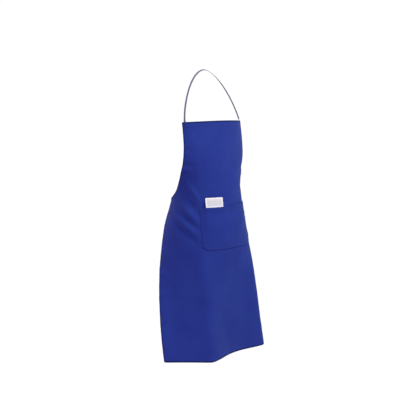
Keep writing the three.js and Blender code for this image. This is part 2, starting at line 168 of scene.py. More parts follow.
class Drape:
    """The outer face of the frame's cloth. Each level is seen from the upright axis through the origin, which
    the cloth goes round, and what is seen becomes evenly spaced places across."""

    LEVEL = 5 * MM
    STEP = 2 * MM
    REACH = 0.4  # across, on either side
    FAR = 0.8
    TURN = math.radians(1)
    SPAN = 170  # turns either side of the front
    EDGE_RUN = 8 * MM  # the stretch at an edge that says how the cloth runs on past it
    SOFTEN = 6 * MM  # takes off the frame's facets
    PAD = 3  # extra levels and places at the grid's ends
    HALVINGS = 12  # steps in the search for an edge

    def __init__(self, *names):
        corners = [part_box(name) for name in names]
        self.top = max(high.z for low, high in corners)
        self.length = self.top - min(low.z for low, high in corners)
        self.search = search_tree(*names)
        self.across = np.arange(-self.REACH, self.REACH + self.STEP / 2, self.STEP)
        depths = np.arange(self.LEVEL / 2, self.length, self.LEVEL)
        levels = np.array([self.level(self.top - depth) for depth in depths])
        levels = soften(levels, self.SOFTEN / self.LEVEL, axis=0)
        levels = soften(levels, self.SOFTEN / self.STEP, axis=1)
        pad = [(self.PAD, self.PAD), (self.PAD, self.PAD), (0, 0)]
        self.grid = np.pad(levels, pad, mode="reflect", reflect_type="odd")

    def hit(self, angle, z):
        way = Vector((math.sin(angle), -math.cos(angle), 0))
        start = way * self.FAR + Vector((0, 0, z))
        return self.search.ray_cast(start, -way, self.FAR)[0]

    def edge(self, angle, side, z):
        """The last place seen, from a seen angle outwards."""
        seen, missed = angle, angle + side * self.TURN
        for _ in range(self.HALVINGS):
            middle = (seen + missed) / 2
            if self.hit(middle, z) is None:
                missed = middle
            else:
                seen = middle
        return self.hit(seen, z)

    def level(self, z):
        """x and y of the cloth at one level. Past its edges it runs on straight."""
        angles = [self.TURN * i for i in range(-self.SPAN, self.SPAN + 1)]
        hits = [(angle, self.hit(angle, z)) for angle in angles]
        hits = [(angle, point) for angle, point in hits if point is not None]
        middle = [angle for angle, _ in hits].index(0.0) + 1
        points = [self.edge(hits[0][0], -1, z)]
        points += [point for _, point in hits]
        points += [self.edge(hits[-1][0], 1, z)]
        points = np.array([(point.x, point.y) for point in points])
        along = distance_along(points)
        along -= along[middle]
        columns = []
        for values in points.T:
            inner = np.interp([along[0] + self.EDGE_RUN, along[-1] - self.EDGE_RUN], along, values)
            slopes = (inner - values[[0, -1]]) / self.EDGE_RUN
            before = values[0] + slopes[0] * (-self.REACH - along[0])
            after = values[-1] + slopes[1] * (along[-1] - self.REACH)
            places = [-self.REACH, *along, self.REACH]
            columns.append(np.interp(self.across, places, [before, *values, after]))
        return np.stack(columns, axis=1)

    def point(self, cut):
        """The cloth's outer face at an (n, 2) array of places (s, t), by cubic interpolation."""
        across = (cut[:, 0] + self.REACH) / self.STEP + self.PAD
        down = cut[:, 1] / self.LEVEL - 0.5 + self.PAD
        rows, columns = self.grid.shape[:2]
        column = np.clip(np.floor(across).astype(int), 1, columns - 3)
        row = np.clip(np.floor(down).astype(int), 1, rows - 3)
        across_weights = cubic_weights(across - column)
        down_weights = cubic_weights(down - row)
        flat = np.zeros((len(cut), 2))
        for i in range(4):
            for j in range(4):
                weight = down_weights[i] * across_weights[j]
                flat += weight[:, None] * self.grid[row - 1 + i, column - 1 + j]
        return np.column_stack([flat, self.top - cut[:, 1]])

    def normal(self, cut):
        """The way out of the cloth, away from the wearer."""
        near = 1.5 * MM
        aside = np.array([near, 0])
        below = np.array([0, near])
        across = self.point(cut + aside) - self.point(cut - aside)
        down = self.point(cut + below) - self.point(cut - below)
        return unit(np.cross(down, across))


def cubic_weights(f):
    """Catmull-Rom weights of the four nearest samples."""
    return [
        0.5 * (-f + 2 * f**2 - f**3),
        0.5 * (2 - 5 * f**2 + 3 * f**3),
        0.5 * (f + 4 * f**2 - 3 * f**3),
        0.5 * (f**3 - f**2),
    ]


CLOTH_NODES = (
    "apron_panel",
    "bib_top_hem",
    "bottom_hem",
    "right_armhole_hem",
    "left_armhole_hem",
    "right_side_hem",
    "left_side_hem",
)
drape = Drape(*CLOTH_NODES)
LENGTH = drape.length

# ---- Creases ----
# Soft ridges and, with a height below 0, hollows: from and to, in mm on the cut, then width and height in mm.
CREASES = [
    # down the bib beside its right edge, and small puckers at that edge
    ((-150, 0), (-130, 120), 12, 2.2),
    ((-130, 120), (-110, 240), 12, 2.4),
    ((-180, 100), (-145, 110), 6, -2.2),
    ((-180, 120), (-140, 125), 6, 1.6),
    ((-190, 160), (-140, 170), 7, -2.6),
    ((-190, 180), (-150, 190), 6, 1.8),
    # a fan pulled from the hip towards the pocket's right edge, ridge and hollow in turn
    ((-185, 210), (-120, 320), 8, 5.4),
    ((-205, 260), (-135, 355), 8, -4.8),
    ((-225, 300), (-135, 390), 7, 5.6),
    ((-235, 335), (-135, 415), 6, -5.2),
    ((-260, 345), (-140, 440), 7, 6.2),
    ((-275, 370), (-150, 465), 8, -5.2),
    ((-305, 370), (-215, 480), 12, 3.4),
    # across the waist of the bib's left half
    ((170, 170), (55, 215), 8, -2.8),
    ((165, 190), (5, 240), 9, 2.8),
    ((65, 145), (-10, 195), 9, -1.8),
    ((185, 230), (90, 265), 8, -2.6),
    # from the left hip, on the side away from the pocket
    ((210, 260), (140, 350), 10, 4.2),
    ((230, 300), (140, 395), 10, -4.2),
    ((260, 345), (145, 435), 9, 4.6),
    ((300, 370), (195, 470), 12, -3.8),
    # an upturned V on the pocket's left half
    ((75, 350), (40, 425), 8, 2.2),
    ((75, 350), (95, 420), 8, 2.0),
    # small pulls at the skirt's two edges
    ((-345, 570), (-295, 605), 8, 3.0),
    ((-345, 690), (-300, 645), 7, 2.8),
    ((-345, 780), (-280, 710), 8, 3.0),
    ((345, 610), (295, 640), 8, 2.8),
    ((345, 740), (290, 700), 8, 2.8),
    # long soft waves down the skirt, most of them behind the front corners
    ((-95, 500), (-70, 880), 24, -2.6),
    ((-20, 520), (10, 860), 28, 2.4),
    ((70, 510), (80, 880), 24, -3.0),
    ((-230, 520), (-235, 890), 22, 3.4),
    ((-290, 560), (-300, 890), 20, -3.4),
    ((225, 500), (240, 890), 22, 3.2),
    ((290, 540), (300, 890), 20, -3.4),
]

# Broad and small unevenness all over the cloth: height, length of the waves, and a seed.
UNEVENNESS = [(1.3 * MM, 0.11, 1.5), (0.4 * MM, 0.034, 7.5)]

# The card's way, which stays flat, across and down the cut: from, to, and how far it takes to fade out.
CARD_WAY_ACROSS = (-0.112, -0.033, 0.02)
CARD_WAY_DOWN = (0.15, 0.47, 0.03)


def crease(cut, start, end, width, height):
    """A ridge along a line, highest in the middle of its run and wider towards its end."""
    start, end = np.array(start) * MM, np.array(end) * MM
    run = end - start
    reach = np.linalg.norm(run)
    way = run / reach
    offset = cut - start
    along = offset @ way / reach
    aside = offset @ np.array([-way[1], way[0]])
    spread = width * MM * lerp(0.75, 1.15, np.clip(along, 0, 1))
    return height * MM * bell(along - 0.5, 0.28) * bell(aside, spread)


def relief(cut):
    """How far the cloth's creases lift it at places on the cut. They leave the card's way free."""
    lift = sum(crease(cut, *which) for which in CREASES)
    for height, wave, seed in UNEVENNESS:
        lift = lift + height * noise_at(cut, wave, seed)
    lift = lift + seam_puckers(cut)
    card_way = between(cut[:, 0], *CARD_WAY_ACROSS) * between(cut[:, 1], *CARD_WAY_DOWN)
    return lift * (1 - card_way)


def on_cloth(cut, out):
    """Places `out` off the creased cloth's outer face, whose top edge arches up in the middle."""
    cut = np.asarray(cut, float)
    away = np.asarray(out, float) + relief(cut)
    middle = np.cos(np.pi / 2 * np.clip(cut[:, 0] / (BIB_WIDTH / 2), -1, 1))
    points = drape.point(cut) + drape.normal(cut) * away[:, None]
    points[:, 2] += TOP_ARCH * middle * (1 - smoothstep(cut[:, 1], 0, 3 * TOP_HEM))
    return points


# ---- Meshes ----
def make_mesh(name, points, faces, uv, material, edge_shade=None):
    """A smooth mesh whose texture coordinates are metres on the flat piece, one pair for each vertex."""
    mesh = bpy.data.meshes.new(name)
    mesh.from_pydata([tuple(p) for p in points], [], [tuple(f) for f in faces])
    mesh.polygons.foreach_set("use_smooth", [True] * len(mesh.polygons))
    corners = np.zeros(len(mesh.loops), dtype=np.int32)
    mesh.loops.foreach_get("vertex_index", corners)
    layer = mesh.uv_layers.new(name="cut")
    layer.data.foreach_set("uv", np.asarray(uv, np.float32)[corners].ravel())
    # The optional share of painted shade at each vertex, which darkens the cloth towards its edges.
    if edge_shade is not None:
        attribute = mesh.attributes.new("edge_shade", "FLOAT", "POINT")
        attribute.data.foreach_set("value", np.asarray(edge_shade, np.float32))
    mesh.materials.append(material)
    mesh.update()
    piece = bpy.data.objects.new(name, mesh)
    bpy.context.scene.collection.objects.link(piece)
    return piece


class Outline:
    """A closed outline on a flat cut, as points close together."""

    def __init__(self, points):
        self.points = points
        self.tree = kdtree.KDTree(len(points))
        for i, (a, b) in enumerate(points):
            self.tree.insert((a, b, 0), i)
        self.tree.balance()
        ahead = np.roll(points, -1, axis=0) - np.roll(points, 1, axis=0)
        inwards = unit(np.stack([-ahead[:, 1], ahead[:, 0]], axis=1))
        self.inwards = inwards if self.area() > 0 else -inwards
        steps = np.linalg.norm(np.roll(points, -1, axis=0) - points, axis=1)
        self.along = np.concatenate([[0], np.cumsum(steps)[:-1]])

    def area(self):
        a, b = self.points, np.roll(self.points, -1, axis=0)
        return 0.5 * float(np.sum(a[:, 0] * b[:, 1] - b[:, 0] * a[:, 1]))

    def nearest(self, cut):
        """The distance from each place to the outline, and the nearest outline point's number."""
        found = np.array([self.tree.find((a, b, 0))[1] for a, b in cut])
        distance = np.full(len(cut), np.inf)
        for step in (-1, 1):
            start = self.points[found]
            run = self.points[(found + step) % len(self.points)] - start
            share = np.sum((cut - start) * run, axis=1) / np.sum(run * run, axis=1)
            foot = start + run * np.clip(share, 0, 1)[:, None]
            distance = np.minimum(distance, np.linalg.norm(cut - foot, axis=1))
        return distance, found

    def holds(self, cut):
        inside = np.zeros(len(cut), bool)
        for (a, b), (c, d) in zip(self.points, np.roll(self.points, -1, axis=0)):
            if b == d:
                continue
            crosses = (b > cut[:, 1]) != (d > cut[:, 1])
            inside ^= crosses & (cut[:, 0] < (c - a) * (cut[:, 1] - b) / (d - b) + a)
        return inside

    def fill(self, insets, spacing, rows=()):
        """Points and triangles inside the outline: points at the listed insets, a lattice further in,
        and extra level rows. Returns (points, triangles)."""
        rings = []
        for inset in insets:
            ring = self.points + self.inwards * inset
            distance, _ = self.nearest(ring)
            rings.append(ring[distance > inset - 0.05 * MM])
        low, high = self.points.min(axis=0), self.points.max(axis=0)
        across = np.arange(low[0] + spacing / 2, high[0], spacing)
        levels = np.arange(low[1] + spacing / 2, high[1], spacing)
        levels = [level for level in levels if all(abs(level - row) > spacing / 2 for row in rows)]
        grid = np.array([(a, b) for b in [*levels, *rows] for a in across])
        grid = grid[self.holds(grid)]
        distance, _ = self.nearest(grid)
        grid = grid[distance > insets[-1] + 0.6 * spacing]
        points = [Vector(p) for p in np.concatenate([self.points, *rings, grid])]
        border = [list(range(len(self.points)))]
        found = geometry.delaunay_2d_cdt(points, [], border, 1, 1e-7)
        return np.array([tuple(p) for p in found[0]]), found[2]


def noise_along(along, aside, scale, seed):
    """Smooth noise along a seam, whose waves reach `aside` from it."""
    return noise_at(np.stack([along, aside], axis=1), scale, seed)


def closed_outline(points, step):
    """The outline through points, evenly spaced and closed."""
    return Outline(resample(np.concatenate([points, points[:1]]), step)[:-1])


def mirrored(left):
    """The left half of an outline or a path, mirrored and run backwards."""
    return left[::-1] * np.array([-1, 1])


def sheet_mesh(name, outline, filled, place, front, back, material, edge_shade=None):
    """A closed sheet between two faces that meet at the outline. front and back are heights off the lie."""
    cut, triangles = filled
    distance, _ = outline.nearest(cut)
    border = distance < 1e-6
    twin = np.cumsum(~border) - 1 + len(cut)
    twin[border] = np.flatnonzero(border)
    flipped = [[twin[i] for i in reversed(triangle)] for triangle in triangles]
    faces = [list(triangle) for triangle in triangles] + flipped
    points = np.concatenate([place(cut, front), place(cut[~border], back[~border])])
    uv = np.concatenate([cut, cut[~border]])
    if edge_shade is not None:
        edge_shade = np.concatenate([edge_shade, edge_shade[~border]])
    piece = make_mesh(name, points, faces, uv, material, edge_shade)
    turn_outwards(piece)
    return piece


def turn_outwards(piece):
    """Flips a closed mesh whose faces point inwards."""
    mesh = piece.data
    mesh.calc_loop_triangles()
    co = np.array([vertex.co for vertex in mesh.vertices])
    a, b, c = (co[[triangle.vertices[k] for triangle in mesh.loop_triangles]] for k in range(3))
    if np.sum(a * np.cross(b, c)) < 0:
        mesh.flip_normals()


def rounded_edge(distance, radius):
    """How far a face falls back at an edge that is rounded to a radius."""
    short = np.clip(radius - distance, 0, radius)
    return radius - np.sqrt(radius**2 - short**2)


def tube_faces(rings, sides, closed=False):
    """The faces of a tube of rings of points, with flat ends unless it is closed on itself."""
    faces = []
    for ring in range(rings if closed else rings - 1):
        a, b = ring * sides, (ring + 1) % rings * sides
        for k in range(sides):
            m = (k + 1) % sides
            faces.append([a + k, a + m, b + m, b + k])
    if not closed:
        faces.append(list(reversed(range(sides))))
        faces.append([(rings - 1) * sides + k for k in range(sides)])
    return faces


def ring_points(centres, side, aside, out, outwards):
    """Rings of points round a line: how far each point lies from its centre along side and out."""
    return centres[:, None] + side[:, None] * aside[..., None] + out[:, None] * outwards[..., None]


def tube_mesh(name, rings, faces, across, along, material):
    """A closed mesh through rings of points, whose places on the flat piece are across and along."""
    uv = np.stack(np.broadcast_arrays(across, along[:, None]), axis=-1)
    piece = make_mesh(name, rings.reshape(-1, 3), faces, uv.reshape(-1, 2), material)
    turn_outwards(piece)
    return piece


def stitch_mesh(name, segments, place, material, width=THREAD, height=0.55 * MM):
    """Single stitches. segments is an (n, 2, 2) array of their two ends on the cut, and place(cut, out) lays
    them: the thread comes up at one end, lies on the cloth and goes down at the other."""
    shares = np.array([0.0, 0.12, 0.38, 0.62, 0.88, 1.0])
    girth = np.array([0.25, 0.8, 1.0, 1.0, 0.8, 0.25])
    sides = 6
    count, rings = len(segments), len(shares)
    cuts = lerp(segments[:, :1], segments[:, 1:], shares[None, :, None]).reshape(-1, 2)
    rise = np.tile(lerp(-0.5, 0.3, np.sin(np.pi * shares) ** 0.6) * height, count)
    centres = place(cuts, rise)
    out = unit(place(cuts, rise + 0.5 * MM) - centres)
    flat = np.zeros(count)
    way = np.repeat(place(segments[:, 1], flat) - place(segments[:, 0], flat), rings, 0)
    side = unit(np.cross(unit(way), out))
    turns = np.linspace(0, 2 * np.pi, sides, endpoint=False)
    scale = np.tile(girth, count)[:, None]
    aside, outwards = scale * np.cos(turns) * width / 2, scale * np.sin(turns) * height / 2
    points = ring_points(centres, side, aside, out, outwards)
    one = tube_faces(rings, sides)
    faces = [[stitch * rings * sides + i for i in face] for stitch in range(count) for face in one]
    reach = np.linalg.norm(segments[:, 1] - segments[:, 0], axis=1)
    along = (reach[:, None] * shares).ravel()
    return tube_mesh(name, points, faces, turns[None, :] * width / 2, along, material)


def row_of_stitches(path):
    """The ends of single stitches along a path on the cut."""
    marks = resample(np.asarray(path), STITCH)
    run = np.diff(marks, axis=0)
    return np.stack([marks[:-1] + 0.1 * run, marks[:-1] + 0.9 * run], axis=1)


def tape_mesh(name, centres, across, width, thick, material, wave=0.12 * MM, seed=0.0):
    """A flat woven tape along a line, with rounded, slightly thicker edges."""
    way = unit(np.gradient(centres, axis=0))
    across = unit(across - way * np.sum(across * way, axis=1, keepdims=True))
    out = np.cross(way, across)
    turns = np.linspace(0, 2 * np.pi, 16, endpoint=False)
    flat = np.sign(np.cos(turns)) * np.abs(np.cos(turns)) ** 0.45
    edge = 1 + 0.15 * np.abs(flat) ** 6
    high = np.sign(np.sin(turns)) * np.abs(np.sin(turns)) ** 0.6 * edge
    along = distance_along(centres)
    widths = np.broadcast_to(width, along.shape)
    uneven = 1 + wave / np.max(widths) * noise_along(along, along * 0, 9 * MM, seed)
    points = ring_points(centres, across, flat * (widths * uneven)[:, None] / 2, out, high[None] * thick / 2)
    faces = tube_faces(len(centres), len(turns))
    return tube_mesh(name, points, faces, flat * widths[:, None] / 2, along, material)


# ---- Materials ----
class Look:
    """A node material built step by step."""

    def __init__(self, name, roughness, **uniform):
        self.material = bpy.data.materials.new(name)
        self.material.use_nodes = True
        self.nodes = self.material.node_tree.nodes
        self.links = self.material.node_tree.links
        self.shader = self.nodes["Principled BSDF"]
        self.shader.inputs["Roughness"].default_value = roughness
        for socket, value in uniform.items():
            self.shader.inputs[socket.replace("_", " ")].default_value = value

    def add(self, kind, inputs=(), **settings):
        node = self.nodes.new(kind)
        for key, value in settings.items():
            setattr(node, key, value)
        for socket, value in enumerate(inputs):
            if value is None:
                continue
            if isinstance(value, bpy.types.NodeSocket):
                self.links.new(value, node.inputs[socket])
            else:
                node.inputs[socket].default_value = value
        return node

    def math(self, operation, *inputs):
        return self.add("ShaderNodeMath", inputs, operation=operation).outputs[0]

    def times(self, a, b):
        return self.math("MULTIPLY", a, b)

    def plus(self, a, b):
        return self.math("ADD", a, b)

    def cut_mm(self):
        """The places on the flat piece, in millimetres."""
        uv = self.add("ShaderNodeUVMap", uv_map="cut").outputs[0]
        scaled = self.add("ShaderNodeVectorMath", (uv,), operation="SCALE")
        scaled.inputs["Scale"].default_value = 1000
        split = self.add("ShaderNodeSeparateXYZ", (scaled.outputs[0],))
        return scaled.outputs[0], split.outputs[0], split.outputs[1]

    def noise(self, vector, wave, detail=2.0, stretch=(1, 1, 1)):
        """Noise from 0 to 1 with waves about `wave` millimetres long, longer by stretch."""
        scale = [1 / (wave * s) for s in stretch]
        mapped = self.add("ShaderNodeVectorMath", (vector, scale), operation="MULTIPLY").outputs[0]
        node = self.add("ShaderNodeTexNoise")
        self.links.new(mapped, node.inputs["Vector"])
        node.inputs["Scale"].default_value = 1
        node.inputs["Detail"].default_value = detail
        return node.outputs[0]

    def wave(self, value, pitch):
        """A sine from -1 to 1 with that pitch."""
        return self.math("SINE", self.times(value, 2 * math.pi / pitch))

    def mix(self, share, a, b):
        node = self.nodes.new("ShaderNodeMix")
        node.data_type = "RGBA"
        for socket, value in ((0, share), (6, a), (7, b)):
            if isinstance(value, bpy.types.NodeSocket):
                self.links.new(value, node.inputs[socket])
            else:
                node.inputs[socket].default_value = value if socket == 0 else (*value, 1)
        return node.outputs[2]

    def ramp(self, value, low, high, start=0.0, end=1.0):
        return self.add("ShaderNodeMapRange", (value, low, high, start, end)).outputs[0]

    def finish(self, color, height, distance, strength=1.0, roughness=None):
        self.links.new(color, self.shader.inputs["Base Color"])
        bump = self.add("ShaderNodeBump")
        bump.inputs["Strength"].default_value = strength
        bump.inputs["Distance"].default_value = distance
        self.links.new(height, bump.inputs["Height"])
        self.links.new(bump.outputs[0], self.shader.inputs["Normal"])
        if roughness is not None:
            self.links.new(roughness, self.shader.inputs["Roughness"])
        return self.material


def twill(name, color, dark, edge):
    """Cotton twill: fine diagonal ribs, uneven yarns, cloudy dye, and painted shade that darkens it towards
    its edges.
    """
    look = Look(
        name,
        0.86,
        Specular_IOR_Level=0.12,
        Sheen_Weight=0.1,
        Sheen_Roughness=0.5,
        Sheen_Tint=(0.45, 0.7, 1.0, 1),
    )
    place, across, down = look.cut_mm()
    ribs = look.wave(look.plus(across, look.times(down, 0.7)), 1.2)
    yarns = look.times(look.wave(across, 0.55), look.wave(down, 0.6))
    slub_down = look.noise(place, 0.9, 3, (1, 22, 1))
    slub_across = look.noise(place, 0.9, 3, (22, 1, 1))
    slubs = look.plus(slub_down, slub_across)
    height = look.plus(look.times(ribs, 0.5), look.times(yarns, 0.25))
    height = look.plus(height, slubs)
    cloudy = look.noise(place, 95, 4)
    tone = look.plus(look.ramp(cloudy, 0.3, 0.7, 0.0, 0.6), look.ramp(slubs, 0.7, 1.3, 0.0, 0.4))
    cloth = look.mix(tone, dark, color)
    # Painted shade: near its edges the cloth is mixed towards the edge colour, mottled by noise.
    edge_shade = look.add("ShaderNodeAttribute", attribute_name="edge_shade").outputs["Fac"]
    edge_shade = look.times(edge_shade, look.ramp(look.noise(place, 6, 4), 0.3, 0.6, 0.75, 1))
    cloth = look.mix(edge_shade, cloth, edge)
    grain = look.ramp(look.noise(place, 30, 3), 0.3, 0.7, 0.8, 0.92)
    return look.finish(cloth, height, 0.12 * MM, 0.8, grain)


def ribbed_tape(name, color, dark):
    """Woven tape: ribs straight across and a few stray yarns."""
    look = Look(
        name, 0.78, Specular_IOR_Level=0.3, Sheen_Weight=0.2, Sheen_Roughness=0.5, Sheen_Tint=(*color, 1)
    )
    place, across, down = look.cut_mm()
    ribs = look.wave(down, 0.9)
    yarns = look.times(look.wave(across, 0.7), 0.35)
    fuzz = look.noise(place, 0.7, 3, (3, 1, 1))
    height = look.plus(look.plus(ribs, yarns), fuzz)
    # Painted shade in the troughs between the ribs, with random tone from the stray yarns and a broad noise.
    tone = look.times(look.ramp(ribs, -1, 1, 0.35, 1), look.ramp(fuzz, 0.3, 0.7, 0.6, 1))
    tone = look.times(tone, look.ramp(look.noise(place, 24, 2), 0.3, 0.7, 0.8, 1))
    return look.finish(look.mix(tone, dark, color), height, 0.1 * MM, 0.8)


def twisted_thread(name, color, dark):
    """Sewing thread with its twist."""
    look = Look(name, 0.6, Specular_IOR_Level=0.4, Sheen_Weight=0.1)
    place, around, along = look.cut_mm()
    twist = look.wave(look.plus(along, look.times(around, 0.8)), 0.5)
    uneven = look.ramp(look.noise(place, 3), 0.3, 0.7, 0.7, 1)
    # Painted shade in the twist's grooves, with random unevenness along the thread.
    tone = look.times(look.ramp(twist, -1, 1, 0.4, 1), uneven)
    return look.finish(look.mix(tone, dark, color), twist, 0.08 * MM)


def printed_card(white, field, warm, cool, left, right, upper, lower):
    """White card with a pale grey printed field, warmer at its top and cooler at its foot, and faint rules.
    The four last values are the field's edges in millimetres on the card."""
    look = Look("white_card", 0.5, Specular_IOR_Level=0.4, Coat_Weight=0.12, Coat_Roughness=0.35)
    place, across, up = look.cut_mm()
    edge = 0.25
    inside = look.ramp(across, left - edge, left + edge)
    inside = look.times(inside, look.ramp(across, right - edge, right + edge, 1, 0))
    inside = look.times(inside, look.ramp(up, lower - edge, lower + edge))
    inside = look.times(inside, look.ramp(up, upper - edge, upper + edge, 1, 0))
    rules = look.times(look.ramp(look.wave(up, 3.2), 0.5, 1), 0.12)
    print_color = look.mix(rules, field, cool)
    print_color = look.mix(look.ramp(up, upper - 7, upper - 4), print_color, warm)
    print_color = look.mix(look.ramp(up, lower + 4, lower + 7, 1, 0), print_color, cool)
    fibres = look.noise(place, 0.8, 4)
    paper = look.mix(look.ramp(fibres, 0.3, 0.7, 0.0, 0.06), white, field)
    return look.finish(look.mix(inside, paper, print_color), fibres, 0.05 * MM, 0.5)


# The edge colour is painted shade along the cloth's cut edges.
blue_cloth = twill(
    "blue_cloth", color=(0.021, 0.045, 0.305), dark=(0.015, 0.031, 0.262), edge=(0.005, 0.007, 0.070)
)
# dark is partly painted shade: the colour of the thread's twist grooves.
blue_thread = twisted_thread("blue_thread", color=(0.020, 0.041, 0.275), dark=(0.012, 0.025, 0.190))
# dark is partly painted shade: the colour of the troughs between the ribs.
blue_tape = ribbed_tape("blue_tape", color=(0.024, 0.048, 0.275), dark=(0.012, 0.026, 0.180))
slate_tape = ribbed_tape("slate_tape", color=(0.200, 0.230, 0.330), dark=(0.110, 0.132, 0.215))


# ---- Camera, light and floor ----
def camera():
    """A little above the bib, to the wearer's right of straight in front, looking a little down."""
    azimuth = math.radians(43.3)
    down = math.radians(7.18)
    distance = 3.2
    aim_y = -0.022  # what the camera turns about lies this far in front of the origin
    above = 0.0908  # the bib's top edge
    data = bpy.data.cameras.new("camera")
    data.lens = 72.9
    data.sensor_width = 36
    data.shift_x = -0.01975
    view = bpy.data.objects.new("camera", data)
    view.location = (
        -distance * math.sin(azimuth),
        aim_y - distance * math.cos(azimuth),
        drape.top + above,
    )
    view.rotation_euler = (math.pi / 2 - down, 0, -azimuth)
    bpy.context.scene.collection.objects.link(view)
    bpy.context.scene.camera = view


def area_light(name, azimuth, elevation, distance, size, power, color):
    """A square soft light that faces the middle of the apron. Azimuth 0 is straight in front."""
    data = bpy.data.lights.new(name, "AREA")
    data.size = size
    data.energy = power
    data.color = color
    light = bpy.data.objects.new(name, data)
    a, e = math.radians(azimuth), math.radians(elevation)
    way = Vector((math.sin(a) * math.cos(e), -math.cos(a) * math.cos(e), math.sin(e)))
    middle = Vector((0, 0, drape.top - LENGTH / 2))
    light.location = middle + way * distance
    light.rotation_euler = way.to_track_quat("Z", "Y").to_euler()
    bpy.context.scene.collection.objects.link(light)


def plain(name, glow):
    """A matt stage surface that is seen as even white, with a faint mottle where light falls on it."""
    look = Look(name, 0.9, Specular_IOR_Level=0.1)
    coordinates = look.add("ShaderNodeTexCoord").outputs["Object"]
    mottle = look.add("ShaderNodeTexNoise")
    look.links.new(coordinates, mottle.inputs["Vector"])
    tone = look.mix(mottle.outputs[0], (0.01, 0.01, 0.01), (0.02, 0.02, 0.02))
    look.links.new(tone, look.shader.inputs["Base Color"])
    look.shader.inputs["Emission Color"].default_value = (1, 1, 1, 1)
    look.shader.inputs["Emission Strength"].default_value = glow
    return look.material


def stage():
    """A floor under the wearer's feet and a dome, both seen as white but giving the apron no light."""
    foot_room = 0.35  # from the apron's bottom edge to the floor
    bpy.ops.mesh.primitive_circle_add(
        vertices=96, radius=14, fill_type="NGON", location=(0, 0, drape.top - LENGTH - foot_room)
    )
    floor = bpy.context.object
    floor.name = "floor"
    floor.data.materials.append(plain("floor", 1.0))
    bpy.ops.mesh.primitive_uv_sphere_add(segments=64, ring_count=32, radius=15)
    dome = bpy.context.object
    dome.name = "dome"
    dome.data.materials.append(plain("dome", 1.0))
    for thing in (floor, dome):
        thing.visible_diffuse = False
        thing.visible_glossy = False
        thing.visible_shadow = False


# Name, azimuth and elevation in degrees, distance and size in metres, power in watts, colour.
LIGHTS = [
    ("key", 2, 54, 3.2, 1.4, 62, (1.0, 1.12, 0.87)),
    ("fill", -100, 12, 3.6, 2.2, 6, (1.0, 0.85, 1.0)),
    ("back", 178, 24, 3.6, 2.2, 22, (1.0, 1.0, 1.0)),
]


def lighting():
    world = bpy.data.worlds.new("studio")
    world.use_nodes = True
    background = world.node_tree.nodes["Background"]
    background.inputs["Color"].default_value = (1.0, 0.83, 1.0, 1)
    background.inputs["Strength"].default_value = 0.6
    bpy.context.scene.world = world
    for light in LIGHTS:
        area_light(*light)
    bpy.context.scene.view_settings.view_transform = "Standard"


# ---- The tails of the waist ties ----
def tie_tail(side, word):
    """A free end: flat tape that hangs from the knot with a slight curl."""
    low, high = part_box(word + "_tie_tail")
    middle = (low + high) / 2
    share = np.linspace(0, 1, 111)
    sway_by, curl_by = 3.0 * MM, 4.5 * MM
    drop = 0.997 * TAIL_LENGTH  # the curl takes up the rest
    sway = sway_by * side * np.sin(2.2 * np.pi * share) * share
    curl = curl_by * np.sin(1.7 * np.pi * share + 0.6 * side) * smoothstep(share, 0, 0.3)
    centres = np.stack([middle.x + sway, middle.y + curl, high.z - share * drop], axis=1)
    twist = 0.45 * side * smoothstep(share, 0.05, 1) + 0.12 * np.sin(9 * share)
    across = np.stack([np.cos(twist), np.sin(twist), 0 * twist], axis=1)
    name = word + "_tie_tail_tape"
    piece = tape_mesh(name, centres, across, TIE_WIDTH, TIE_THICK, blue_tape, seed=side)
    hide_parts(word + "_tie_tail")
    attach(piece, word + "_tail")


# ---- The apron's cloth ----
def armhole(turn, inset):
    """A place on the left half's armhole, inside its edge. turn runs from 0 to a quarter turn."""

    def edge(angle):
        rise = ARMHOLE_DEPTH * math.sin(angle) ** (2 / ARMHOLE_CURVE)
        return np.array([(BIB_WIDTH + (SKIRT_WIDTH - BIB_WIDTH) * (1 - math.cos(angle))) / 2, rise])

    near = 1e-4
    way = unit(edge(turn + near) - edge(max(turn - near, 0)))
    return edge(turn) + inset * np.array([-way[1], way[0]])


def armhole_path(inset, start, end):
    """The armhole at an inset, over the depths and widths that lie between start and end."""
    turns = np.linspace(0, math.pi / 2, 400) ** 1.5 / (math.pi / 2) ** 0.5
    path = np.array([armhole(turn, inset) for turn in turns])
    return path[(path[:, 1] >= start) & (path[:, 0] <= end)]


def round_corner(before, corner, after, radius):
    """An arc-like bend from one side to the next."""
    share = np.linspace(0, 1, 7)[:, None]
    start = corner + unit(before - corner) * radius
    end = corner + unit(after - corner) * radius
    return (1 - share) ** 2 * start + 2 * share * (1 - share) * corner + share**2 * end


def cloth_outline():
    half = SKIRT_WIDTH / 2
    edge = armhole_path(0, CUT_CORNER, half - HIP_CORNER)
    top = np.array([BIB_WIDTH / 2, 0])
    side_corner = np.array([half, ARMHOLE_DEPTH])
    bottom = np.array([half, LENGTH])
    left = np.concatenate(
        [
            round_corner(np.array([0, 0]), top, edge[0], CUT_CORNER),
            edge,
            round_corner(edge[-1], side_corner, bottom, HIP_CORNER),
            round_corner(side_corner, bottom, np.array([0, LENGTH]), CUT_CORNER),
        ]
    )
    return closed_outline(np.concatenate([left, mirrored(left)]), 2.8 * MM)


def hem_share(cut, distance):
    """1 where the cloth is turned in to a hem, 0 elsewhere."""
    soft = 0.5 * MM
    side = 1 - smoothstep(distance, SIDE_HEM - soft, SIDE_HEM + soft)
    top = 1 - smoothstep(cut[:, 1], TOP_HEM - soft, TOP_HEM + soft)
    bottom = smoothstep(cut[:, 1], LENGTH - BOTTOM_HEM - soft, LENGTH - BOTTOM_HEM + soft)
    return np.maximum(side, np.maximum(top, bottom))


def side_distance(cut, outline):
    """The distance to the sides and armholes alone: far away along the two level edges."""
    distance, found = outline.nearest(cut)
    t = outline.points[found, 1]
    level = (t < 1 * MM) | (t > LENGTH - 1 * MM)
    return np.where(level, 1.0, distance)


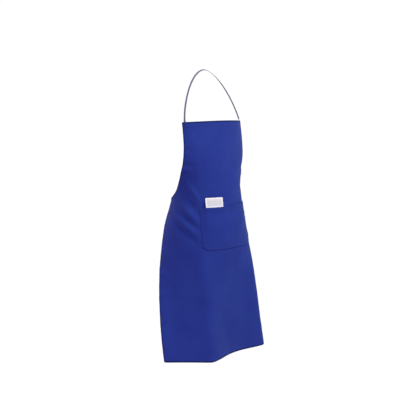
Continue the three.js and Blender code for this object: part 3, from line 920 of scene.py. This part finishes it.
SIDE_STITCH = SIDE_HEM - STITCH_INSET
LEVEL_STITCHES = (TOP_HEM - STITCH_INSET, LENGTH - BOTTOM_HEM + STITCH_INSET)
GROOVE_DEPTH = 0.4 * MM
GROOVE_WIDTH = 0.9 * MM
GROOVE_ROWS = [k * GROOVE_WIDTH for k in (-1.6, -0.7, 0, 0.7, 1.6)]  # rows of points that give it its shape


def sewn_dip(distance):
    """The groove that a row of stitching pulls into the cloth."""
    return -GROOVE_DEPTH * bell(distance, GROOVE_WIDTH)


def hem_height(cut, outline):
    """The outer face over the hems: a groove along the stitching and small puckers beside it."""
    side = side_distance(cut, outline)
    _, found = outline.nearest(cut)
    along = outline.along[found]
    height = sewn_dip(side - SIDE_STITCH)
    drawn = noise_along(along, side * 0.25, 6 * MM, 3.5)
    height = height + 0.45 * MM * drawn * between(side, 2 * MM, SIDE_HEM + 2 * MM, 5 * MM)
    for row in LEVEL_STITCHES:
        away = cut[:, 1] - row
        height = height + sewn_dip(away)
        drawn = noise_along(cut[:, 0], away * 0.25, 7 * MM, 9.5)
        height = height + 0.4 * MM * drawn * between(away, -8 * MM, 8 * MM, 8 * MM)
    return height


def apron_cloth():
    """The whole cloth in one sheet: its edges are folded over to the inside and sewn down."""
    outline = cloth_outline()
    rim = HEM / 2
    side_rows = [SIDE_STITCH + away for away in GROOVE_ROWS]
    fold_rows = [SIDE_HEM + 0.2 * MM, SIDE_HEM + 0.8 * MM]
    insets = [0.06 * rim, 0.25 * rim, 0.6 * rim, rim, 4.2 * MM, *side_rows, *fold_rows]
    rows = []
    for stitch, fold in zip(LEVEL_STITCHES, (TOP_HEM, LENGTH - BOTTOM_HEM)):
        rows += [stitch + away for away in GROOVE_ROWS]
        rows += [fold - 0.5 * MM, fold + 0.5 * MM]
    filled = outline.fill(insets, 4 * MM, sorted(rows))
    cut = filled[0]
    distance, _ = outline.nearest(cut)
    fall = rounded_edge(distance, rim)
    shape = hem_height(cut, outline)
    front = shape - fall
    inner = np.where(distance < rim, 1.0, hem_share(cut, distance))
    back = shape - lerp(CLOTH, HEM, inner) + fall
    # Painted shade: the cloth darkens within 3 to 6.5 mm of its edge.
    edge_shade = 1 - smoothstep(distance, 3 * MM, 6.5 * MM)
    piece = sheet_mesh("apron_cloth", outline, filled, on_cloth, front, back, blue_cloth, edge_shade)
    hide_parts(*CLOTH_NODES)
    abs(outline.area())
    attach(piece, "apron")


def sew(name, path, replaced, place=on_cloth):
    """A row of single stitches that stands for a CAD row."""
    piece = stitch_mesh(name, row_of_stitches(path), place, blue_thread)
    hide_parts(replaced)
    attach(piece, "apron")


def hem_rows():
    """The stitching along the turned hems."""
    corner = SKIRT_WIDTH / 2 - SIDE_STITCH

    def on_hem(cut, out):
        return on_cloth(cut, out - 0.2 * MM)

    for name, t in zip(("bib_top_hem", "bottom_hem"), LEVEL_STITCHES):
        half = (armhole_path(0, t, 1)[0, 0] if t < ARMHOLE_DEPTH else SKIRT_WIDTH / 2) - STITCH_INSET
        sew(name + "_thread", [(-half, t), (half, t)], name + "_stitching", on_hem)
    for side, word in ((-1, "right"), (1, "left")):
        mirror = np.array([side, 1])
        path = armhole_path(SIDE_STITCH, LEVEL_STITCHES[0], corner)
        sew(word + "_armhole_thread", path * mirror, word + "_armhole_hem_stitching", on_hem)
        down = np.array([(corner, path[-1, 1] + STITCH), (corner, LEVEL_STITCHES[1])])
        sew(word + "_side_thread", down * mirror, word + "_side_hem_stitching", on_hem)


# ---- The pocket and its card ----
class PocketLift:
    """How far the inside of the frame's pocket stands off the cloth, over a grid on the cut."""

    GRID = 6 * MM
    SEAT = 0.3 * MM  # where the pocket is sewn down

    def __init__(self):
        search = search_tree("pocket_front", "pocket_top_hem")
        half = POCKET_WIDTH / 2
        self.s = np.arange(-half, half + self.GRID / 2, self.GRID)
        self.t = np.arange(POCKET_DEPTH + 2 * MM, POCKET_DEPTH + POCKET_HEIGHT, self.GRID)
        cut = np.array([(s, t) for t in self.t for s in self.s])
        base, out = drape.point(cut), drape.normal(cut)
        reach = 0.06
        behind = 2 * MM
        heights = []
        for point, way in zip(base, out):
            found = search.ray_cast(Vector(point - way * behind), Vector(way), reach)
            heights.append(self.SEAT if found[0] is None else max(found[3] - behind, self.SEAT))
        grid = np.array(heights).reshape(len(self.t), len(self.s))
        soft = 1.1
        self.grid = soften(soften(grid, soft, 0), soft, 1)

    def __call__(self, cut):
        across = np.clip((cut[:, 0] - self.s[0]) / self.GRID, 0, len(self.s) - 1.001)
        down = np.clip((cut[:, 1] - self.t[0]) / self.GRID, 0, len(self.t) - 1.001)
        i, j = np.floor(down).astype(int), np.floor(across).astype(int)
        f, g = smoothstep(down - i, 0, 1), smoothstep(across - j, 0, 1)
        upper = lerp(self.grid[i, j], self.grid[i, j + 1], g)
        lower = lerp(self.grid[i + 1, j], self.grid[i + 1, j + 1], g)
        return np.maximum(lerp(upper, lower, f), self.SEAT)


def pocket_bend(inset, count):
    """The pocket's rounded left bottom corner, inside its edge."""
    half = POCKET_WIDTH / 2 - inset
    bottom = POCKET_DEPTH + POCKET_HEIGHT - inset
    radius = POCKET_CORNER - inset
    turns = np.linspace(0, math.pi / 2, count)
    return np.stack([half - radius * (1 - np.cos(turns)), bottom - radius * (1 - np.sin(turns))], axis=1)


def pocket_hem_share(cut):
    """1 where the pocket's mouth is turned in, 0 elsewhere."""
    down = cut[:, 1] - POCKET_DEPTH
    return 1 - smoothstep(down, POCKET_HEM - 0.6 * MM, POCKET_HEM + 0.6 * MM)


def pocket_outline():
    half = POCKET_WIDTH / 2
    bend = pocket_bend(0, 12)
    mouth = round_corner(np.array([0, POCKET_DEPTH]), np.array([half, POCKET_DEPTH]), bend[0], 1.5 * MM)
    left = np.concatenate([mouth, bend])
    return closed_outline(np.concatenate([left, mirrored(left)]), 2.2 * MM)


def seam_puckers(cut):
    """Small folds that the pocket's seam draws into the cloth beside it, square to the seam."""
    distance, found = POCKET.nearest(cut)
    along = POCKET.along[found]
    drawn = noise_along(along, distance * 0.2, 10 * MM, 5.5)
    return 1.5 * MM * drawn * np.exp(-distance / (11 * MM)) * smoothstep(cut[:, 1], POCKET_DEPTH, 0.36)


POCKET = pocket_outline()
pocket_lift = PocketLift()


def on_pocket(cut, out):
    """Places off the pocket's outer face, whose mouth hangs down on the card's side."""
    distance, _ = POCKET.nearest(cut)
    half = POCKET_WIDTH / 2
    slack = 1 - smoothstep(cut[:, 0], -half, half)
    snug = 1 - 0.6 * smoothstep(cut[:, 0], 0, half / 3)
    down = cut[:, 1] - POCKET_DEPTH
    stand = pocket_lift(cut) * snug + CLOTH + POCKET_FOLD * (1 - smoothstep(distance, *POCKET_TURN))
    stand = stand + 0.5 * sewn_dip(distance - STITCH_INSET)
    stand = stand + POCKET_FOLD * pocket_hem_share(cut) + sewn_dip(down - POCKET_HEM + STITCH_INSET)
    stand = stand + sewn_dip(cut[:, 0]) * smoothstep(down, 0, POCKET_HEM)
    drop = POCKET_SAG * slack * (1 - smoothstep(down, 0, 0.7 * POCKET_HEIGHT))
    return on_cloth(cut + np.stack([0 * drop, drop], axis=1), out + stand)


def pocket_cloth():
    rim = 0.8 * MM
    insets = [0.1 * rim, 0.4 * rim, rim, 2 * MM, STITCH_INSET, 4 * MM, 6 * MM, *POCKET_TURN]
    low = POCKET_DEPTH + POCKET_HEM
    rows = [low - STITCH_INSET, low - 0.7 * MM, low + 0.7 * MM]
    filled = POCKET.fill(insets, 3 * MM, rows)
    cut = filled[0]
    distance, _ = POCKET.nearest(cut)
    fall = rounded_edge(distance, rim)
    turned = 1 - smoothstep(distance, *POCKET_TURN)
    thick = CLOTH + POCKET_FOLD * np.maximum(turned, pocket_hem_share(cut))
    # Painted shade: a faint darkening within 2 mm of the pocket's edge.
    edge_shade = 0.1 * (1 - smoothstep(distance, 0.8 * MM, 2 * MM))
    piece = sheet_mesh("pocket_cloth", POCKET, filled, on_pocket, -fall, fall - thick, blue_cloth, edge_shade)
    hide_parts("pocket_front", "pocket_top_hem")
    abs(POCKET.area())
    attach(piece, "apron")


def pocket_rows():
    """The pocket's seam, its divider, its hem row and the three bartacks at its mouth."""
    half = POCKET_WIDTH / 2 - STITCH_INSET
    bottom = POCKET_DEPTH + POCKET_HEIGHT - STITCH_INSET
    start = POCKET_DEPTH + POCKET_HEM
    bend = pocket_bend(STITCH_INSET, 14)
    seam = np.concatenate([[(half, start)], bend, mirrored(bend), [(-half, start)]])

    def on_seam(cut, out):
        return on_pocket(cut, out - 0.1 * MM)

    sew("pocket_seam_thread", seam, "pocket_seam_stitching", on_seam)
    sew("pocket_divider_thread", [(0, start), (0, bottom)], "pocket_divider_stitching", on_seam)
    hem = start - STITCH_INSET
    sew("pocket_hem_thread", [(-half, hem), (half, hem)], "pocket_hem_stitching", on_seam)
    for word, s in (("right", -half), ("middle", 0), ("left", half)):
        bartack(word + "_pocket_bartack", s)


def bartack(name, s):
    """A short bar of close zigzag thread beside the pocket's mouth."""
    levels = np.arange(POCKET_DEPTH + 1.5 * MM, POCKET_DEPTH + POCKET_HEM - 5 * MM, 0.55 * MM)
    width = 1.3 * MM
    ends = [[(s - width, t), (s + width, t + 0.5 * MM)] for t in levels]
    piece = stitch_mesh(name + "_thread", np.array(ends), on_pocket, blue_thread, 0.6 * MM, 0.7 * MM)
    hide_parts(name)
    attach(piece, "apron")


def card():
    """The card, on the frame card's own curve, with its visible end printed and its corners rounded."""
    low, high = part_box("pocket_card")
    search = search_tree("pocket_card")
    mouth = drape.top - POCKET_DEPTH
    radius, thick = 3 * MM, 0.6 * MM
    corners = [(low.x, low.z), (high.x, low.z), (high.x, high.z), (low.x, high.z)]
    corners = [np.array(corner) for corner in corners]
    bends = [round_corner(corners[i - 1], corners[i], corners[(i + 1) % 4], radius) for i in range(4)]
    outline = closed_outline(np.concatenate(bends), 2 * MM)
    inset = 0.4 * MM
    before = low.y - 0.02

    def front_y(x, z):
        x = min(max(x, low.x + inset), high.x - inset)
        z = min(max(z, low.z + 2 * MM), high.z - 2 * MM)
        return search.ray_cast(Vector((x, before, z)), Vector((0, 1, 0)), 0.2)[0].y

    x_grid = np.linspace(low.x, high.x, 25)
    lower, upper = lerp(low.z, high.z, 0.3), lerp(low.z, high.z, 0.7)
    faces = np.array([[front_y(x, z) for x in x_grid] for z in (lower, upper)])
    faces = soften(faces, 1.2, 1)
    lean = (faces[1] - faces[0]).mean() / (upper - lower)
    foot = faces[0] - lean * (lower - low.z)

    def on_card(cut, out):
        y = np.interp(cut[:, 0], x_grid, foot) + lean * (cut[:, 1] - low.z)
        slope = np.gradient(foot, x_grid)
        side = np.interp(cut[:, 0], x_grid, slope)
        normal = unit(np.stack([side, -np.ones(len(cut)), lean * np.ones(len(cut))], axis=1))
        return np.stack([cut[:, 0], y, cut[:, 1]], axis=1) + normal * np.asarray(out)[:, None]

    filled = outline.fill([0.1 * MM, 0.3 * MM, 1 * MM], 3 * MM)
    distance, _ = outline.nearest(filled[0])
    fall = rounded_edge(distance, thick / 2)
    look = printed_card(
        white=(0.93, 0.92, 1.0),
        field=(0.68, 0.71, 0.76),
        warm=(0.80, 0.77, 0.83),
        cool=(0.67, 0.72, 0.90),
        left=(low.x + 5 * MM) / MM,
        right=(high.x - 5 * MM) / MM,
        upper=(high.z - 5 * MM) / MM,
        lower=(mouth - 1 * MM) / MM,
    )
    piece = sheet_mesh("card_sheet", outline, filled, on_card, -fall, fall - thick, look)
    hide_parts("pocket_card")
    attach(piece, "card")


# ---- The neck strap ----
def strap_inside():
    """How deep inside the cloth's outer face the middle of the sewn tape lies."""
    return -(HEM + 0.4 * MM + STRAP_THICK / 2)


def sewn_strap(side):
    """The middle line of a sewn strap end, from its foot to the bib's top edge."""
    sewn = np.linspace(TOP_HEM - STITCH_INSET, 0, 12)
    return on_cloth(np.stack([0 * sewn + side * STRAP_PLACE, sewn], axis=1), 0 * sewn + strap_inside())


def strap_line():
    """The middle line of the whole strap, the level where it leaves the bib, and its rise from there."""
    low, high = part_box("neck_strap")
    left_end = sewn_strap(1)
    base = Vector((left_end[-1][0], left_end[-1][1], low.z))
    rise_to = high.z - (STRAP_THICK + STRAP_WIDTH * math.sin(NAPE_TILT)) / 2 - base.z
    lean_to = (high.y - STRAP_WIDTH / 2) - base.y
    turns = np.pi * np.linspace(0, 1, 400)[1:-1]
    x = -np.sign(np.cos(turns)) * np.abs(np.cos(turns)) ** (2 / LOOP_SIDE)
    rise = np.sin(turns) ** (2 / LOOP_RISE)
    loop = np.stack([base.x * x, base.y + lean_to * rise, base.z + rise_to * rise], axis=1)
    centres = resample(np.concatenate([sewn_strap(-1), loop, left_end[::-1]]), 2.2 * MM)
    return soften(centres, 1.5, 0), base.z, rise_to


def strap_across(centres, foot, rise_to):
    """The way across the tape: flat on the bib where it leaves it, then turned to face the neck."""
    probe = drape.point(np.array([(STRAP_PLACE + 2 * MM, 0), (STRAP_PLACE - 2 * MM, 0)]))
    edge = unit(probe[0] - probe[1])
    forwards = np.array([0.0, -1.0, 0.0])
    side = np.where(centres[:, :1] < 0, 1.0, -1.0)
    flat = side * np.array([edge[0], 0, 0]) + np.array([0, -abs(edge[1]), 0])
    share = np.clip((centres[:, 2] - foot) / rise_to, 0, 1)
    inwards = unit(np.cross(np.gradient(centres, axis=0), forwards))
    tilt = lerp(STRAND_TILT, NAPE_TILT, smoothstep(share, 0.6, 1))[:, None]
    over = forwards * np.cos(tilt) + inwards * np.sin(tilt)
    return lerp(flat, over, smoothstep(share, 0, 0.045)[:, None])


def neck_strap():
    """One tape: sewn inside the bib, up over the neck and down to its other sewn end."""
    centres, foot, rise_to = strap_line()
    across = strap_across(centres, foot, rise_to)
    piece = tape_mesh("neck_strap_tape", centres, across, STRAP_WIDTH, STRAP_THICK, slate_tape, seed=4.0)
    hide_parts("neck_strap", "right_strap_end", "left_strap_end")
    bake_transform(piece)


def box_stitches(low, high, left, right):
    """The ends of stitches along a box and its two diagonals."""
    corners = [(left, low), (right, low), (right, high), (left, high)]
    runs = [(corners[i], corners[(i + 1) % 4]) for i in range(4)]
    runs += [(corners[0], corners[2]), (corners[1], corners[3])]
    return np.concatenate([row_of_stitches(run) for run in runs])


def sewn_boxes():
    """A crossed box of stitching through each sewn tape end, on both faces of the cloth."""
    strap_under = strap_inside() - STRAP_THICK / 2 - 0.1 * MM
    tie_under = tie_inside() - TIE_THICK / 2 - 0.1 * MM
    middle = tie_depth()
    for side, word in ((-1, "right"), (1, "left")):
        place = side * STRAP_PLACE
        half_strap, half_tie = 2.6 * MM, 4.4 * MM
        strap_box = box_stitches(3 * MM, TOP_HEM - 5 * MM, place - half_strap, place + half_strap)
        edge = side * SKIRT_WIDTH / 2
        tie_span = sorted((edge - side * 9 * MM, edge - side * (TIE_SEWN - 2 * MM)))
        tie_box = box_stitches(middle - half_tie, middle + half_tie, *tie_span)
        for name, box, under, replaced in (
            (word + "_strap_thread", strap_box, strap_under, word + "_strap_end_stitching"),
            (word + "_tie_thread", tie_box, tie_under, word + "_tie_stitching"),
        ):
            for face, depth, turn in (("inner", under, -1), ("outer", 0, 1)):
                piece = stitch_mesh(
                    name + "_" + face,
                    box,
                    lambda cut, out, depth=depth, turn=turn: on_cloth(cut, depth + turn * out),
                    blue_thread,
                )
                if face == "inner":
                    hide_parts(replaced)
                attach(piece, "apron")


# ---- The waist ties and their knot ----
def tie_depth():
    return ARMHOLE_DEPTH + SIDE_HEM + TIE_WIDTH


def tie_inside():
    return -(HEM + 0.4 * MM + TIE_THICK / 2)


def spline(points, count):
    """A smooth line through points."""
    points = np.asarray(points)
    padded = np.concatenate([[2 * points[0] - points[1]], points, [2 * points[-1] - points[-2]]])
    share = np.linspace(0, len(points) - 1, count)
    index = np.minimum(share.astype(int), len(points) - 2)
    weights = cubic_weights(share - index)
    return sum(weight[:, None] * padded[index + i] for i, weight in enumerate(weights))


def waist_tie(side, word, knot_low, knot_high):
    """Tape sewn flat inside the side corner, running back to the knot with a slight sag."""
    reach = np.linspace(-TIE_SEWN, 8 * MM, 6)
    cut = np.stack([side * (SKIRT_WIDTH / 2 + reach), 0 * reach + tie_depth()], axis=1)
    sewn = on_cloth(cut, 0 * reach + tie_inside())
    middle = (knot_low + knot_high) / 2
    end = np.array([side * (knot_high.x - 3 * MM), middle.y, middle.z])
    turn = lerp(end, sewn[-1], 0.6)
    turn[1] = end[1]
    near = lerp(end, sewn[-1], 0.22)
    near[1] = end[1]
    near[2] -= 1.5 * MM
    centres = resample(spline([*sewn, turn, near, end], 160), 2 * MM)
    share = np.linspace(0, 1, len(centres))
    edge = np.array([(side * SKIRT_WIDTH / 2, tie_depth() + away) for away in (-MM, MM)])
    above, below = on_cloth(edge, np.zeros(2))
    slope = unit(above - below)[None]
    upright = np.array([[0.0, 0.0, 1.0]])
    across = lerp(slope, upright, smoothstep(share, 0.35, 0.8)[:, None])
    gathered = TIE_WIDTH * lerp(1, 0.62, smoothstep(share, 0.8, 1))
    name = word + "_waist_tie_tape"
    piece = tape_mesh(name, centres, across, gathered, TIE_THICK, blue_tape, seed=2 + side)
    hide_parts(word + "_waist_tie")
    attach(piece, "apron")


def knot(low, high):
    """An overhand knot of gathered tape: a trefoil with lengthwise folds, drawn in to the frame's knot."""
    count, sides = 240, 20
    turn = np.linspace(0, 2 * np.pi, count, endpoint=False)
    across = np.sin(turn) + 2 * np.sin(2 * turn)
    upright = np.cos(turn) - 2 * np.cos(2 * turn)
    shape = np.stack([across, -np.sin(3 * turn), upright], axis=1)
    strand = np.array([2.7, 2.4, 2.7]) * MM
    size = np.array(high - low) / 2 - strand * 1.05
    shape = shape / np.abs(shape).max(axis=0) * size
    centres = np.array((low + high) / 2) + shape
    way = unit(np.roll(centres, -1, axis=0) - np.roll(centres, 1, axis=0))
    out = unit(shape - way * np.sum(shape * way, axis=1, keepdims=True))
    aside = np.cross(way, out)
    around = np.linspace(0, 2 * np.pi, sides, endpoint=False)
    folds = 1 + 0.10 * np.cos(5 * around[None, :] + 1.5 * np.sin(2 * turn)[:, None])
    wide, thick = 3.3 * MM, 2.3 * MM
    points = ring_points(centres, aside, folds * np.cos(around) * wide, out, folds * np.sin(around) * thick)
    along = distance_along(centres)
    faces = tube_faces(count, sides, closed=True)
    girth = around[None, :] * (wide + thick) / 2
    piece = tube_mesh("waist_knot_tape", points, faces, girth, along, blue_tape)
    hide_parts("waist_knot")
    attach(piece, "apron")


# ---- The whole ----
camera()
for side, word in ((-1, "right"), (1, "left")):
    tie_tail(side, word)
lighting()
stage()
neck_strap()
apron_cloth()
hem_rows()
pocket_cloth()
pocket_rows()
card()
sewn_boxes()
knot_low, knot_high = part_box("waist_knot")
for side, word in ((-1, "right"), (1, "left")):
    waist_tie(side, word, knot_low, knot_high)
knot(knot_low, knot_high)
